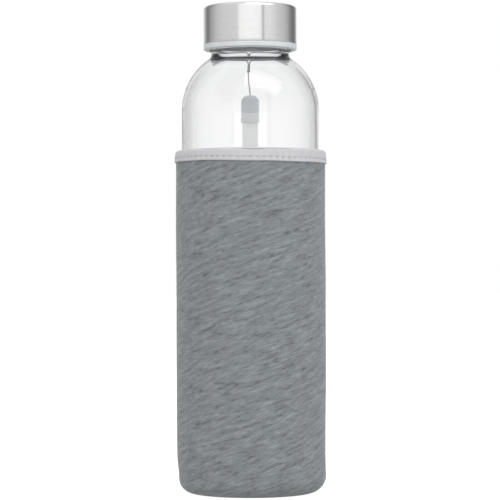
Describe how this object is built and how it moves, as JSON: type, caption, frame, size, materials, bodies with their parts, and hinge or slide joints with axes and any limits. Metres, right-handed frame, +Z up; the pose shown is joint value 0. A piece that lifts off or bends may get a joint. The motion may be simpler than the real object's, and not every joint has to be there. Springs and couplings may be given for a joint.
{
  "type": "glass water bottle",
  "caption": "Clear glass bottle with a domed shoulder, a brushed steel screw cap, a heather knit foam sleeve with a pale binding, and a ribbon strap on a neck cord.",
  "frame": {"origin": "centre of the sleeve's underside, on the surface that the bottle stands on", "axes": "+Z up along the bottle's axis, towards the cap; +Y towards the back, where the strap and the sleeve's seam are; +X to the right seen from the front"},
  "size_m": [0.0712, 0.0712, 0.225],
  "materials": {
    "clear_glass": "polished clear soda-lime glass",
    "brushed_cap_steel": "fine brushed stainless steel",
    "liner_plastic": "milky moulded polypropylene",
    "seal_silicone": "matt silicone",
    "cord_nylon": "fine braided nylon",
    "ferrule_plastic": "satin moulded plastic",
    "collar_plastic": "satin moulded plastic",
    "ribbon_weave": "flat woven polyester",
    "heather_jersey": "heather grey jersey knit, brushed",
    "foam_core": "closed-cell foam rubber",
    "lining_knit": "plain dark knit",
    "binding_tape": "folded knit tape, pale grey",
    "binding_thread": "spun polyester thread",
    "seam_thread": "spun polyester thread"
  },
  "bodies": {
    "sleeve": {"sleeve_jersey": "heather_jersey", "sleeve_foam": "foam_core", "sleeve_lining": "lining_knit", "base_panel": "heather_jersey", "top_binding": "binding_tape", "binding_stitches": "binding_thread", "back_seam_stitches": "seam_thread", "base_seam_stitches": "seam_thread"},
    "bottle": {"glass_bottle": "clear_glass", "neck_cord": "cord_nylon", "cord_knot": "cord_nylon", "strap_ferrule": "ferrule_plastic", "strap_collar": "collar_plastic", "strap_ribbon": "ribbon_weave"},
    "seal": {"cap_seal": "seal_silicone"},
    "cap": {"cap_shell": "brushed_cap_steel", "cap_liner": "liner_plastic"}
  },
  "joints": [
    {"name": "bottle_lift", "type": "slide", "parent": "sleeve", "child": "bottle", "axis": [0, 0, 1], "range_m": [0, 0.175]},
    {"name": "cap_rise", "type": "slide", "parent": "bottle", "child": "seal", "axis": [0, 0, 1], "range_m": [0, 0.0215]},
    {"name": "cap_turn", "type": "hinge", "parent": "seal", "child": "cap", "pos_m": [0, 0, 0.2072], "axis": [0, 0, 1], "range_deg": [0, 1800]}
  ],
  "couplings": [
    {"joint": "cap_rise", "follows": "cap_turn", "m_per_rad": 0.00066845}
  ]
}
